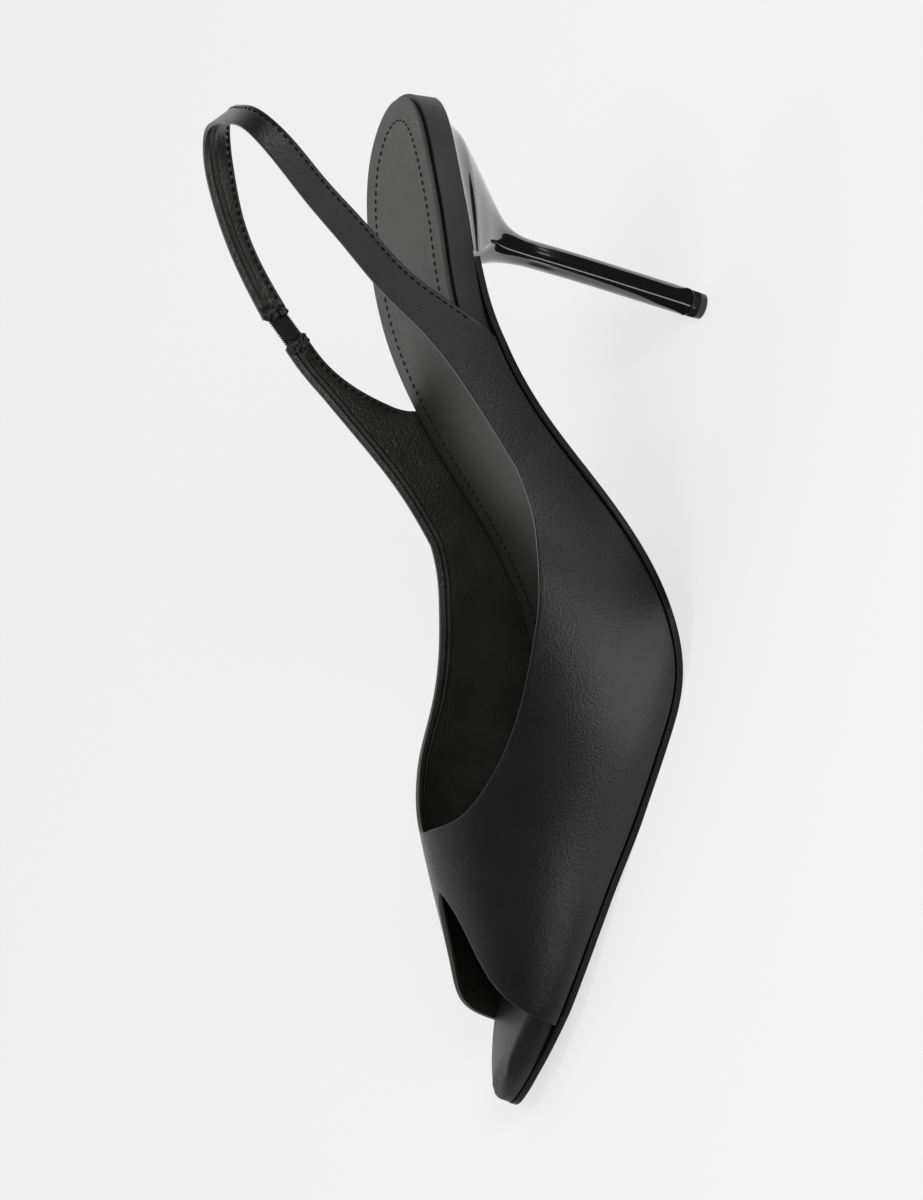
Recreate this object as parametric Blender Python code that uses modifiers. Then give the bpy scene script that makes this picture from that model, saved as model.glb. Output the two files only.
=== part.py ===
# Slingback sandal for the left foot: peep toe, sling strap with an elastic, slim high heel.
# Metres, +Z up, heel at +Y, toe at -Y, outer side of the foot at +X, standing on z = 0.
import math

import bmesh
import bpy
import numpy as np

# Driving sizes
LENGTH = 0.2416        # footbed from the heel's curve to the toe's tip, seen from above
BALL_WIDTH = 0.073     # footbed across the joints
SEAT_WIDTH = 0.048     # footbed across the heel
SEAT_RISE = 0.0855     # heel end of the footbed above its forepart
INSTEP = 0.035         # scale of the vamp's height above the footbed
STRAP_WIDTH = 0.0082
SIDE_FULL = 0.0008     # swell of the vamp's sides over the feather
WALL = 0.0018          # upper with its lining
INSOLE_REAR = 0.0065   # wrapped insole at the seat
INSOLE_FORE = 0.0048   # wrapped insole under the ball
OUTSOLE = 0.0017
OUTSOLE_LIP = 0.0003   # outsole showing beyond the upper
SOCK = 0.0011
SOCK_INSET = 0.0012
TOE_PAD = 0.0036       # fall of the domed toe from its middle to its edge
TOE_PAD_RISE = 0.38    # share of that fall that stands above the footbed
TOE_PAD_FAR = 0.80     # share of that fall at the inner edge
TOE_CREST = 0.70       # where the dome is highest, as a share of the half width
TIP_ROUND = 0.012      # length over which the dome falls to the toe's tip
TOP_PIECE = 0.0044     # height of the heel's top piece
TIP_FOOT = 0.93        # its radius on the floor, as a share of the stem's end
TIP_HEAD = 0.96        # its radius where it meets the stem
ELASTIC = 0.0012
ELASTIC_WIDTH = 0.0050
GAP = 0.0003           # between pieces that touch
SEAT_GAP = 0.0004      # between the heel's cup and the insole
HEEL_CURVE = 0.195     # share of the length taken by the heel's curve
TOE_CURVE = 0.790      # share of the length where the toe's point begins
HEEL_POWER = 2.2
TOE_POWER = 1.58
SEAT_END = 0.15        # share of the length where the seat starts to widen
SEAT_BLEND = 0.20      # share over which it widens to the footbed's table
LEVEL = OUTSOLE + GAP + INSOLE_FORE

# Footbed: share of the length, of the rise, and half widths as shares of the ball width.
FOOTBED = np.array([
    # along, rise, near, far
    (0.000, 1.000, 0.330, 0.330),
    (0.070, 0.962, 0.330, 0.330),
    (0.140, 0.897, 0.329, 0.328),
    (0.240, 0.770, 0.322, 0.312),
    (0.340, 0.516, 0.345, 0.325),
    (0.400, 0.318, 0.408, 0.352),
    (0.450, 0.180, 0.472, 0.385),
    (0.500, 0.075, 0.504, 0.428),
    (0.550, 0.013, 0.502, 0.474),
    (0.620, 0.000, 0.458, 0.484),
    (0.700, 0.000, 0.375, 0.392),
    (0.790, 0.020, 0.303, 0.300),
    (0.900, 0.044, 0.300, 0.300),
    (1.000, 0.058, 0.300, 0.300),
])

# Last's ridge: height as a share of the instep, offset of the ball width, then how full each side is.
RIDGE = np.array([
    # along, height, offset, near, far
    (0.240, 3.60, -0.010, 0.60, 0.50),
    (0.400, 2.70, -0.030, 0.70, 0.60),
    (0.500, 2.10, -0.050, 0.90, 0.75),
    (0.600, 1.55, -0.060, 1.05, 0.90),
    (0.700, 1.18, -0.060, 1.15, 1.00),
    (0.765, 0.985, -0.050, 1.15, 1.00),
    (0.815, 0.820, -0.030, 1.10, 1.00),
    (0.880, 0.600, -0.010, 1.05, 1.00),
    (0.950, 0.420, 0.000, 1.00, 1.00),
])

# Topline from the throat back: along, then share of the way from feather to ridge.
NEAR_TOP = np.array([
    (0.747, 1.000), (0.742, 0.830), (0.730, 0.690), (0.704, 0.585), (0.667, 0.502),
    (0.630, 0.451), (0.594, 0.416), (0.554, 0.378), (0.509, 0.328), (0.464, 0.281),
    (0.416, 0.225), (0.387, 0.197), (0.354, 0.172), (0.327, 0.169), (0.298, 0.174),
])
FAR_TOP = np.array([
    (0.747, 1.000), (0.743, 0.860), (0.728, 0.780), (0.704, 0.690), (0.658, 0.545),
    (0.608, 0.420), (0.553, 0.344), (0.493, 0.290), (0.454, 0.258), (0.421, 0.244),
    (0.394, 0.249), (0.365, 0.283),
])
NEAR_CORNER = 0.246    # where each quarter's rear edge meets the feather
FAR_CORNER = 0.292

# Peep toe's edge: share round from feather to ridge, then along on each side.
PEEP = np.array([
    # round, near, far
    (0.00, 0.922, 0.909),
    (0.22, 0.919, 0.908),
    (0.44, 0.910, 0.904),
    (0.64, 0.891, 0.892),
    (0.77, 0.862, 0.868),
    (0.84, 0.837, 0.842),
    (0.91, 0.818, 0.820),
    (1.00, 0.805, 0.805),
])

# Sling strap from the near quarter round the heel: centre line, width and lean of the band.
STRAP = np.array([
    # along, out, rise, wide, lean
    (0.2595, 0.536, 0.08, 1.61, 32.0),
    (0.2389, 0.518, 0.29, 1.29, 33.0),
    (0.2165, 0.502, 0.52, 1.11, 35.0),
    (0.1848, 0.500, 0.76, 1.05, 36.0),
    (0.1485, 0.496, 1.06, 0.97, 34.0),
    (0.1105, 0.473, 1.33, 0.90, 31.0),
    (0.0912, 0.385, 1.47, 0.80, 30.0),
    (0.0838, 0.211, 1.49, 0.78, 32.0),
    (0.0768, 0.023, 1.43, 0.82, 36.0),
    (0.0712, -0.188, 1.35, 0.90, 42.0),
    (0.0768, -0.376, 1.28, 0.96, 48.0),
    (0.1000, -0.478, 1.225, 0.97, 51.0),
    (0.1302, -0.503, 1.19, 0.92, 50.0),
    (0.1603, -0.520, 1.14, 0.83, 50.0),
    (0.1956, -0.525, 1.06, 0.80, 49.0),
    (0.2435, -0.521, 0.93, 0.87, 48.0),
])
# Far quarter's tab from the topline's last section up to the elastic.
TAB = np.array([
    # along, out, rise, wide, lean
    (0.3333, -0.545, 0.38, 1.85, 33.0),
    (0.3166, -0.532, 0.57, 1.24, 35.0),
    (0.3019, -0.534, 0.68, 0.92, 34.0),
    (0.2830, -0.535, 0.78, 0.82, 35.0),
    (0.2658, -0.535, 0.83, 0.82, 39.0),
])

# Heel from the seat down: ends along the length, height at each end, half width and shape.
HEEL = np.array([
    # back, back_z, corner, half, front, front_z, round, dip
    (0.0020, 0.923, 0.1620, 0.487, 0.1620, 0.787, 0.00, 0.0040),
    (0.0205, 0.834, 0.1550, 0.350, 0.1600, 0.736, 0.10, 0.0080),
    (0.0460, 0.757, 0.1390, 0.250, 0.1548, 0.683, 0.35, 0.0040),
    (0.0690, 0.696, 0.1292, 0.181, 0.1507, 0.647, 0.70, 0.0000),
    (0.0923, 0.634, 0.1254, 0.128, 0.1461, 0.614, 1.00, 0.0000),
    (0.1043, 0.587, 0.1246, 0.095, 0.1424, 0.573, 1.00, 0.0000),
    (0.1095, 0.535, 0.1248, 0.079, 0.1403, 0.529, 1.00, 0.0000),
    (0.1097, 0.458, 0.1248, 0.073, 0.1391, 0.458, 1.00, 0.0000),
    (0.1093, 0.271, 0.1240, 0.069, 0.1387, 0.271, 1.00, 0.0000),
    (0.1101, 0.020, 0.1247, 0.069, 0.1395, 0.020, 1.00, 0.0000),
])
HEEL_SHEET = 11        # points on each half of a heel section's sides
BREAST_SHEET = 6
SEAT_DROP = 0.0015     # least fall from the seat to the heel's second section
PAD_ROWS = 29         # rows and columns of the footbed's pieces
PAD_ACROSS = 11
ACROSS = 9            # points across the upper's ribs
END_SHARE = 0.07       # share of the length in each rounded end
OUTSOLE_START = 0.178  # shares of the length where the outsole starts and the sock ends
SOCK_END = 0.76

NEAR, FAR = 1.0, -1.0
COLLECTION = "slingback_sandal"


def spline(xs, ys, x):
    """Natural cubic through a table's rows."""
    h = np.diff(xs)
    g = np.diff(ys) / h
    n = len(xs)
    m = np.zeros((n, n))
    r = np.zeros(n)
    m[0, 0] = m[-1, -1] = 1.0
    for i in range(1, n - 1):
        m[i, i - 1:i + 2] = h[i - 1], 2 * (h[i - 1] + h[i]), h[i]
        r[i] = 6 * (g[i] - g[i - 1])
    k = np.linalg.solve(m, r)
    x = np.clip(np.asarray(x, float), xs[0], xs[-1])
    i = np.clip(np.searchsorted(xs, x) - 1, 0, n - 2)
    a = (xs[i + 1] - x) / h[i]
    b = 1 - a
    bend = ((a ** 3 - a) * k[i] + (b ** 3 - b) * k[i + 1]) * h[i] ** 2 / 6
    return a * ys[i] + b * ys[i + 1] + bend


def along_rows(rows, count):
    """The table's rows resampled evenly by distance along their first two columns."""
    steps = np.hypot(*(np.diff(rows[:, :2], axis=0) * (1.0, 0.25)).T)
    at = np.r_[0.0, np.cumsum(steps)]
    want = np.linspace(0, at[-1], count)
    return np.stack([spline(at, column, want) for column in rows.T], -1)


def footbed(u):
    return LEVEL + SEAT_RISE * spline(FOOTBED[:, 0], FOOTBED[:, 1], np.asarray(u) / LENGTH)


def half(u, side):
    """Half width of the footbed at a distance from the heel."""
    t = np.asarray(u, float) / LENGTH
    w = BALL_WIDTH * spline(FOOTBED[:, 0], FOOTBED[:, 2 if side > 0 else 3], t)
    seat = SEAT_WIDTH / (2 * FOOTBED[0, 2] * BALL_WIDTH)
    w = w * (seat + (1 - seat) * np.clip((t - SEAT_END) / SEAT_BLEND, 0, 1))
    heel = np.clip(1 - t / HEEL_CURVE, 0, 1)
    toe = np.clip((t - TOE_CURVE) / (1 - TOE_CURVE), 0, 1)
    w = w * (1 - heel ** HEEL_POWER) ** (1 / HEEL_POWER)
    return w * (1 - toe ** TOE_POWER) ** (1 / TOE_POWER)


def insole_thick(u):
    share = np.interp(np.asarray(u) / LENGTH, [0.2, 0.5], [0, 1])
    return INSOLE_REAR + (INSOLE_FORE - INSOLE_REAR) * share


def below(u, depth):
    """Along and height of the point that is a depth under the footbed, square to it."""
    d = 0.002 * LENGTH
    s = (footbed(u + d) - footbed(u - d)) / (2 * d)
    n = np.sqrt(1 + s * s)
    return u + depth * s / n, footbed(u) - depth / n


TOP_U = np.linspace(0, LENGTH, 300)
FEATHER_U, FEATHER_Z = below(TOP_U, insole_thick(TOP_U))


def feather(u):
    return np.interp(u, FEATHER_U, FEATHER_Z)


def skin(u, side, s):
    """Outer face of the upper, s going from the feather (0) to the ridge (1)."""
    t = np.asarray(u) / LENGTH
    zr = LEVEL + INSTEP * spline(RIDGE[:, 0], RIDGE[:, 1], t)
    xr = BALL_WIDTH * spline(RIDGE[:, 0], RIDGE[:, 2], t)
    power = spline(RIDGE[:, 0], RIDGE[:, 3 if side > 0 else 4], t)
    foot = np.maximum(half(u, side), half(np.interp(u, FEATHER_U, TOP_U), side))
    w = side * (foot + GAP + WALL)
    turn = np.asarray(s) * math.pi / 2
    x = xr + (w - xr) * np.maximum(np.cos(turn), 0) ** power + side * SIDE_FULL * np.sin(2 * turn)
    z = feather(u) + (zr - feather(u)) * np.sin(turn)
    return np.stack(np.broadcast_arrays(x, u, z), -1)


def band(rows, count, across):
    """A flat band swept along a table of centre, width and lean: points (count, across, 3)."""
    u = rows[:, 0] * LENGTH
    line = np.stack([rows[:, 1] * SEAT_WIDTH, u, footbed(u) + rows[:, 2] * INSTEP], -1)
    at = np.r_[0.0, np.cumsum(np.linalg.norm(np.diff(line, axis=0), axis=1))]
    want = np.linspace(0, at[-1], count)
    c = np.stack([spline(at, line[:, i], want) for i in range(3)], -1)
    wide = STRAP_WIDTH * spline(at, rows[:, 3], want)
    lean = np.radians(spline(at, rows[:, 4], want))
    along = np.gradient(c, axis=0)
    along /= np.linalg.norm(along, axis=1)[:, None]
    up = np.stack([0 * lean, np.cos(lean), np.sin(lean)], -1)
    up -= (up * along).sum(1)[:, None] * along
    up /= np.linalg.norm(up, axis=1)[:, None]
    v = np.linspace(-0.5, 0.5, across)
    return c[:, None] + up[:, None] * (wide[:, None] * v)[..., None]


def vamp_half(side, ribs, ridge_ribs, across):
    """Ribs from feather to ridge or topline, from the peep toe's edge back to the quarter's rear."""
    top_rows = NEAR_TOP if side > 0 else FAR_TOP
    corner = NEAR_CORNER if side > 0 else FAR_CORNER
    peep = PEEP[:, 1 if side > 0 else 2]
    ridge = np.linspace(peep[-1], top_rows[0, 0], ridge_ribs + 1)[:-1]
    top = np.r_[np.stack([ridge, 0 * ridge + 1], -1), along_rows(top_rows, ribs - ridge_ribs)]
    t = np.linspace(0, 1, ribs)
    foot = peep[0] + (corner - peep[0]) * t
    v = np.linspace(0, 1, across)
    straight = peep[0] + (peep[-1] - peep[0]) * v
    bow = spline(PEEP[:, 0], peep, v) - straight
    fade = np.clip(1 - t / 0.35, 0, 1) ** 2
    u = foot[:, None] + (top[:, :1] - foot[:, None]) * v + fade[:, None] * bow
    s = top[:, 1:] * v
    return skin(u * LENGTH, side, s)


def upper_ribs():
    """The whole upper as one run of ribs from the far tab's end round the toe to the strap's end."""
    far = join(vamp_half(FAR, 34, 6, ACROSS), band(TAB, 8, ACROSS))
    near = join(vamp_half(NEAR, 38, 6, ACROSS), band(STRAP, 60, ACROSS))
    return near, far


def join(vamp, strap):
    """The vamp's ribs and the strap's in one run, the topline eased where they meet."""
    ribs = np.concatenate([vamp, strap])
    ease = 0.5 * np.linspace(0, 1, ACROSS)[:, None]
    for _ in range(6):
        for i in range(len(vamp) - 4, len(vamp) + 4):
            ribs[i] += ease * ((ribs[i - 1] + ribs[i + 1]) / 2 - ribs[i])
    return ribs


def place(points):
    """From (out, along, height) to the part's axes."""
    p = np.asarray(points, float).reshape(-1, 3)
    return np.stack([p[:, 0], LENGTH / 2 - p[:, 1], p[:, 2]], -1)


def object_from(bm, name, material):
    bmesh.ops.remove_doubles(bm, verts=bm.verts, dist=1e-6)
    bmesh.ops.recalc_face_normals(bm, faces=bm.faces)
    mesh = bpy.data.meshes.new(name)
    bm.to_mesh(mesh)
    bm.free()
    for face in mesh.polygons:
        face.use_smooth = True
    mesh.materials.append(material)
    obj = bpy.data.objects.new(name, mesh)
    bpy.data.collections[COLLECTION].objects.link(obj)
    return obj


def add_sheet(bm, grid):
    rows, columns = grid.shape[:2]
    verts = [bm.verts.new(p) for p in place(grid)]
    for i in range(rows - 1):
        for j in range(columns - 1):
            a = i * columns + j
            bm.faces.new((verts[a], verts[a + 1], verts[a + columns + 1], verts[a + columns]))
    return verts


def make_upper(material):
    near, far = upper_ribs()
    bm = bmesh.new()
    add_sheet(bm, near)
    add_sheet(bm, far[:, ::-1])
    obj = object_from(bm, "upper", material)
    face_out(obj)
    solid = obj.modifiers.new("wall", "SOLIDIFY")
    solid.thickness = WALL
    solid.offset = -1
    solid.use_even_offset = True
    return obj


def face_out(obj):
    """Turns a sheet's faces away from the foot."""
    mesh = obj.data
    centre = sum((f.center.x * f.normal.x + f.normal.z * 0.01) * f.area for f in mesh.polygons)
    if centre < 0:
        mesh.flip_normals()


def coons(far, near, back, front):
    """A four sided sheet of (out, along) between its edges."""
    t = np.linspace(0, 1, len(near))[:, None, None]
    v = np.linspace(0, 1, len(back))[None, :, None]
    sides = far[:, None] * (1 - v) + near[:, None] * v
    ends = back[None] * (1 - t) + front[None] * t
    corners = (back[0] * (1 - v) + back[-1] * v) * (1 - t) + (front[0] * (1 - v) + front[-1] * v) * t
    return sides + ends - corners


def make_pad(name, grid, upper_face, lower_face, material, edge, steps=1):
    """A solid between two faces over a sheet of (out, along), its edges rounded."""
    bm = bmesh.new()
    shape = grid.shape[:2]
    sheets = []
    for face in (upper_face, lower_face):
        u, z = face(grid[..., 0], grid[..., 1])
        sheets.append(np.stack([grid[..., 0], u, z], -1))
    top = add_sheet(bm, sheets[0])
    low = add_sheet(bm, sheets[1][:, ::-1])
    rows, columns = shape
    ring = [(0, j) for j in range(columns)] + [(i, columns - 1) for i in range(1, rows)]
    ring += [(rows - 1, j) for j in range(columns - 2, -1, -1)] + [(i, 0) for i in range(rows - 2, 0, -1)]
    a = [top[i * columns + j] for i, j in ring]
    b = [low[i * columns + (columns - 1 - j)] for i, j in ring]
    for k in range(len(ring)):
        n = (k + 1) % len(ring)
        bm.faces.new((a[k], b[k], b[n], a[n]))
    obj = object_from(bm, name, material)
    bevel = obj.modifiers.new("edge", "BEVEL")
    bevel.width = edge
    bevel.segments = steps
    bevel.limit_method = "ANGLE"
    bevel.angle_limit = math.radians(50)
    return obj


def toe_dome(x, u):
    """Height added by the padded toe, falling to the edges."""
    w = np.where(x > 0, half(u, NEAR), half(u, FAR))
    s = x / np.maximum(w, np.abs(x) + 1e-6)
    near_side = np.clip((s - TOE_CREST) / (1 - TOE_CREST), 0, 1) ** 1.35
    far_side = TOE_PAD_FAR * np.clip((TOE_CREST - s) / (1 + TOE_CREST), 0, 1) ** 2
    tip = (1 - np.clip((LENGTH - u) / TIP_ROUND, 0, 1)) ** 2
    start = np.clip((u / LENGTH - 0.80) / 0.10, 0, 1)
    start = start * start * (3 - 2 * start)
    return start * TOE_PAD * (TOE_PAD_RISE - np.maximum(near_side + far_side, tip))


def make_insole(material):
    grid = coons(*outline(0.0))
    def upper_face(x, u):
        return u, footbed(u) + toe_dome(x, u)
    def lower_face(x, u):
        return below(u, insole_thick(u))
    return make_pad("insole", grid, upper_face, lower_face, material, 0.0010, 2)


def edge_points(u, side, grow):
    """Points on one edge of the footbed's outline, moved out square to it."""
    d = 0.0002 * LENGTH
    lead = (half(np.minimum(u + d, LENGTH), side) - half(np.maximum(u - d, 0), side)) / (2 * d)
    n = np.sqrt(1 + lead * lead)
    g = grow(u) if callable(grow) else grow
    return np.stack([side * (half(u, side) + g / n), u - g * lead / n], -1)


def outline(grow, flat_back=None, flat_front=None):
    """Edges far, near, back and front of a pad that follows the footbed."""
    start = END_SHARE * LENGTH if flat_back is None else flat_back
    end = (1 - END_SHARE) * LENGTH if flat_front is None else flat_front
    u = np.linspace(start, end, PAD_ROWS)
    far, near = edge_points(u, FAR, grow), edge_points(u, NEAR, grow)
    v = np.linspace(-1, 1, PAD_ACROSS)
    ends = []
    for i, tip, flat in ((0, 0.0, flat_back), (-1, LENGTH, flat_front)):
        if flat is not None:
            ends.append(far[i] + (near[i] - far[i]) * (v[:, None] + 1) / 2)
            continue
        w = u[i] + (tip - u[i]) * (1 - np.abs(v) ** 1.7)
        arc = np.where(v[:, None] < 0, edge_points(w, FAR, grow), edge_points(w, NEAR, grow))
        arc[PAD_ACROSS // 2, 0] = 0.0
        ends.append(arc)
    return far, near, ends[0], ends[1]


def make_sock(material):
    grid = coons(*outline(-SOCK_INSET, flat_front=SOCK_END * LENGTH))
    def upper_face(x, u):
        return below(u, -GAP - SOCK)
    def lower_face(x, u):
        return below(u, -GAP)
    return make_pad("sock", grid, upper_face, lower_face, material, 0.0003)


def make_outsole(material):
    def lip(u):
        share = np.interp(u / LENGTH, [0.16, 0.27], [0, 1])
        under_upper = (GAP + WALL) * np.interp(u / LENGTH, [0.90, 0.97], [1, 0])
        return (under_upper + OUTSOLE_LIP + SOCK_INSET) * share - SOCK_INSET
    grid = coons(*outline(lip, flat_back=OUTSOLE_START * LENGTH))
    def upper_face(x, u):
        return below(u, insole_thick(u) + GAP)
    def lower_face(x, u):
        along, z = below(u, insole_thick(u) + GAP + OUTSOLE)
        return along, np.maximum(z, 0.0)
    return make_pad("outsole", grid, upper_face, lower_face, material, 0.0005)


def heel_ring(row, seat):
    """Near half of one section: back to corner along the side, then across the breast."""
    back, back_z, corner, wide, front, front_z, rounded, dip = row
    t = 1 - np.cos(np.linspace(0, math.pi / 2, HEEL_SHEET + 1))
    u = back + (corner - back) * t
    cup = half(t * HEEL[0, 2] * LENGTH, NEAR) / half(HEEL[0, 2] * LENGTH, NEAR)
    x = wide * (cup * (1 - rounded) + np.sqrt(np.clip(1 - (1 - t) ** 2, 0, 1)) * rounded)
    g = np.linspace(0, 1, BREAST_SHEET + 1)[1:]
    u_flat = corner + (front - corner) * g - dip * np.sin(math.pi * g)
    u_round = corner + (front - corner) * np.sin(g * math.pi / 2)
    x_front = wide * ((1 - g) * (1 - rounded) + np.cos(g * math.pi / 2) * rounded)
    u = np.r_[u, u_flat * (1 - rounded) + u_round * rounded] * LENGTH
    x = np.r_[x, x_front] * SEAT_WIDTH
    z = back_z + (front_z - back_z) * (u / LENGTH - back) / (front - back)
    z = LEVEL + SEAT_RISE * z
    follow = feather(u) - SEAT_GAP
    z = np.minimum(z * (1 - seat) + follow * seat, follow - (1 - seat) * SEAT_DROP)
    return np.stack([x, u, z], -1)


def make_heel(material):
    at = np.arange(len(HEEL), dtype=float)
    steps = np.r_[np.linspace(0, 7, 18), 8, 9]
    bm = bmesh.new()
    rings = []
    for k in steps:
        row = [spline(at, column, k) for column in HEEL.T]
        ring = heel_ring(row, max(0.0, 1 - k))
        if k == steps[-1]:
            ring[:, 2] = TOP_PIECE + GAP
        far = ring[-2:0:-1] * (-1, 1, 1)
        rings.append([bm.verts.new(p) for p in place(np.r_[ring, far])])
    count = len(rings[0])
    for a, b in zip(rings, rings[1:]):
        for i in range(count):
            j = (i + 1) % count
            bm.faces.new((a[i], a[j], b[j], b[i]))
    for ring in (rings[0], rings[-1]):
        bm.faces.new((ring[0], ring[1], ring[-1]))
        for i in range(1, HEEL_SHEET - 1):
            bm.faces.new((ring[i], ring[i + 1], ring[-i - 1], ring[-i]))
        bm.faces.new(ring[HEEL_SHEET - 1:count - HEEL_SHEET + 2])
    return object_from(bm, "heel", material)


def make_top_piece(material):
    last = HEEL[-1]
    long = (last[4] - last[0]) * LENGTH / 2
    bm = bmesh.new()
    bmesh.ops.create_cone(bm, cap_ends=True, segments=32, radius1=TIP_FOOT, radius2=TIP_HEAD, depth=TOP_PIECE)
    middle = place([(0, (last[0] + last[4]) / 2 * LENGTH, TOP_PIECE / 2)])[0]
    bmesh.ops.scale(bm, vec=(last[3] * SEAT_WIDTH, long, 1), verts=bm.verts)
    bmesh.ops.translate(bm, vec=tuple(middle), verts=bm.verts)
    obj = object_from(bm, "top_piece", material)
    bevel = obj.modifiers.new("edge", "BEVEL")
    bevel.width = 0.0005
    bevel.segments = 2
    bevel.limit_method = "ANGLE"
    bevel.angle_limit = math.radians(50)
    return obj


def make_elastic(material):
    near, far = upper_ribs()
    start = near[-1]
    end = far[-1]
    a, b = start.mean(0), end.mean(0)
    along = b - a
    gap = GAP / np.linalg.norm(along)
    t = np.linspace(gap, 1 - gap, 9)[:, None, None]
    v = np.linspace(-0.5, 0.5, 5)[None, :, None]
    wide_a = (start[-1] - start[0]) / np.linalg.norm(start[-1] - start[0])
    wide_b = (end[-1] - end[0]) / np.linalg.norm(end[-1] - end[0])
    wide = (wide_a * (1 - t) + wide_b * t) * ELASTIC_WIDTH
    inward = np.array([(WALL - ELASTIC) / 2, 0, 0])
    grid = a * (1 - t) + b * t + wide * v + inward
    bm = bmesh.new()
    add_sheet(bm, grid)
    obj = object_from(bm, "elastic", material)
    face_out(obj)
    solid = obj.modifiers.new("band", "SOLIDIFY")
    solid.thickness = ELASTIC
    solid.offset = -1
    return obj


def make_material(name, colour, roughness, coat=0.0):
    material = bpy.data.materials.new(name)
    material.use_nodes = True
    shader = material.node_tree.nodes["Principled BSDF"]
    shader.inputs["Base Color"].default_value = (*colour, 1)
    shader.inputs["Roughness"].default_value = roughness
    shader.inputs["Coat Weight"].default_value = coat
    return material


def stand_in_middle(objects):
    """Moves every piece so that the sandal stands in the middle of its own outline."""
    points = np.array([v.co[:] for obj in objects for v in obj.data.vertices])
    low, high = points.min(0), points.max(0)
    shift = (-(low[0] + high[0]) / 2, -(low[1] + high[1]) / 2, 0)
    for obj in objects:
        for v in obj.data.vertices:
            v.co.x += shift[0]
            v.co.y += shift[1]


def main():
    for obj in list(bpy.data.objects):
        bpy.data.objects.remove(obj, do_unlink=True)
    group = bpy.data.collections.new(COLLECTION)
    bpy.context.scene.collection.children.link(group)
    pieces = [
        make_outsole(make_material("outsole_gloss", (0.012, 0.012, 0.013), 0.30, 0.3)),
        make_insole(make_material("insole_leather", (0.020, 0.019, 0.019), 0.45)),
        make_sock(make_material("sock_leather", (0.030, 0.029, 0.026), 0.50)),
        make_upper(make_material("upper_leather", (0.018, 0.018, 0.018), 0.42)),
        make_elastic(make_material("elastic_webbing", (0.010, 0.010, 0.010), 0.85)),
        make_heel(make_material("heel_lacquer", (0.010, 0.010, 0.011), 0.08, 1.0)),
        make_top_piece(make_material("top_piece_rubber", (0.014, 0.014, 0.014), 0.40)),
    ]
    stand_in_middle(pieces)


main()
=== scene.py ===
"""Left slingback sandal: black leather, peep toe, elastic link in the strap, slim lacquered heel."""
import math

import bmesh
import bpy
import numpy as np
from mathutils import Matrix, Vector


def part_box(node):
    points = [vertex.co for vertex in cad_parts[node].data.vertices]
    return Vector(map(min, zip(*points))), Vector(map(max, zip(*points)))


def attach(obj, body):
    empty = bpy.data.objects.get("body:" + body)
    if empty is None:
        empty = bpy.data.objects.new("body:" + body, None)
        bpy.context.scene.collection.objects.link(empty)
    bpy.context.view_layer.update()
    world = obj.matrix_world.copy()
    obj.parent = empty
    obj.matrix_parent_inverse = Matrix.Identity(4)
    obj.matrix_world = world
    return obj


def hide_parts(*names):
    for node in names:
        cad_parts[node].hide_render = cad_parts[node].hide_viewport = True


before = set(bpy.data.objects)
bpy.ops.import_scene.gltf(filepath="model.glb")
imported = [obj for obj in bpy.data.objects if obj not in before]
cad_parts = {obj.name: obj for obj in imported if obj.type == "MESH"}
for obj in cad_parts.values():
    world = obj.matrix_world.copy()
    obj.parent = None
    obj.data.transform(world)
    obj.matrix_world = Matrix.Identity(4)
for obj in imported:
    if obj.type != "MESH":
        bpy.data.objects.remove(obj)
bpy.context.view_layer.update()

# Sizes in metres, the same as the solids'
LENGTH = 0.2416
BALL_WIDTH = 0.073
SEAT_WIDTH = 0.048
SEAT_RISE = 0.0855
INSTEP = 0.035
STRAP_WIDTH = 0.0082
SIDE_FULL = 0.0008
WALL = 0.0018
INSOLE_REAR = 0.0065
INSOLE_FORE = 0.0048
OUTSOLE = 0.0017
OUTSOLE_LIP = 0.0003
SOCK = 0.0011
SOCK_INSET = 0.0012
TOE_PAD = 0.0036
TIP_ROUND = 0.012
TOP_PIECE = 0.0044
ELASTIC = 0.0012
ELASTIC_WIDTH = 0.0050
GAP = 0.0003
SEAT_GAP = 0.0004
SEAT_DROP = 0.0015
LEVEL = OUTSOLE + GAP + INSOLE_FORE

# Places along the shoe, as shares of its length from the heel
SEAT_END = 0.15
SEAT_BLEND = 0.20
HEEL_CURVE = 0.195
TOE_CURVE = 0.790
OUTSOLE_START = 0.178
SOCK_END = 0.76
END_SHARE = 0.07
PAD_START = 0.80
PAD_BLEND = 0.10
INSOLE_THINS = (0.2, 0.5)
LIP_GROWS = (0.16, 0.27)
UPPER_ENDS = (0.90, 0.97)

# Roundness of the footbed's ends and of the toe's padding
HEEL_POWER = 2.2
TOE_POWER = 1.58
TOE_PAD_RISE = 0.38
TOE_PAD_FAR = 0.80
TOE_CREST = 0.70
CREST_POWER = 1.6
BOW_FADE = 0.35

# The top piece's foot and head, as shares of the stem's end
TIP_FOOT = 0.93
TIP_HEAD = 0.96

# Footbed: share of the length, of the rise, and half widths as shares of the ball width.
FOOTBED = np.array([
    # along, rise, near, far
    (0.000, 1.000, 0.330, 0.330),
    (0.070, 0.962, 0.330, 0.330),
    (0.140, 0.897, 0.329, 0.328),
    (0.240, 0.770, 0.322, 0.312),
    (0.340, 0.516, 0.345, 0.325),
    (0.400, 0.318, 0.408, 0.352),
    (0.450, 0.180, 0.472, 0.385),
    (0.500, 0.075, 0.504, 0.428),
    (0.550, 0.013, 0.502, 0.474),
    (0.620, 0.000, 0.458, 0.484),
    (0.700, 0.000, 0.375, 0.392),
    (0.790, 0.020, 0.303, 0.300),
    (0.900, 0.044, 0.300, 0.300),
    (1.000, 0.058, 0.300, 0.300),
])
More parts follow.
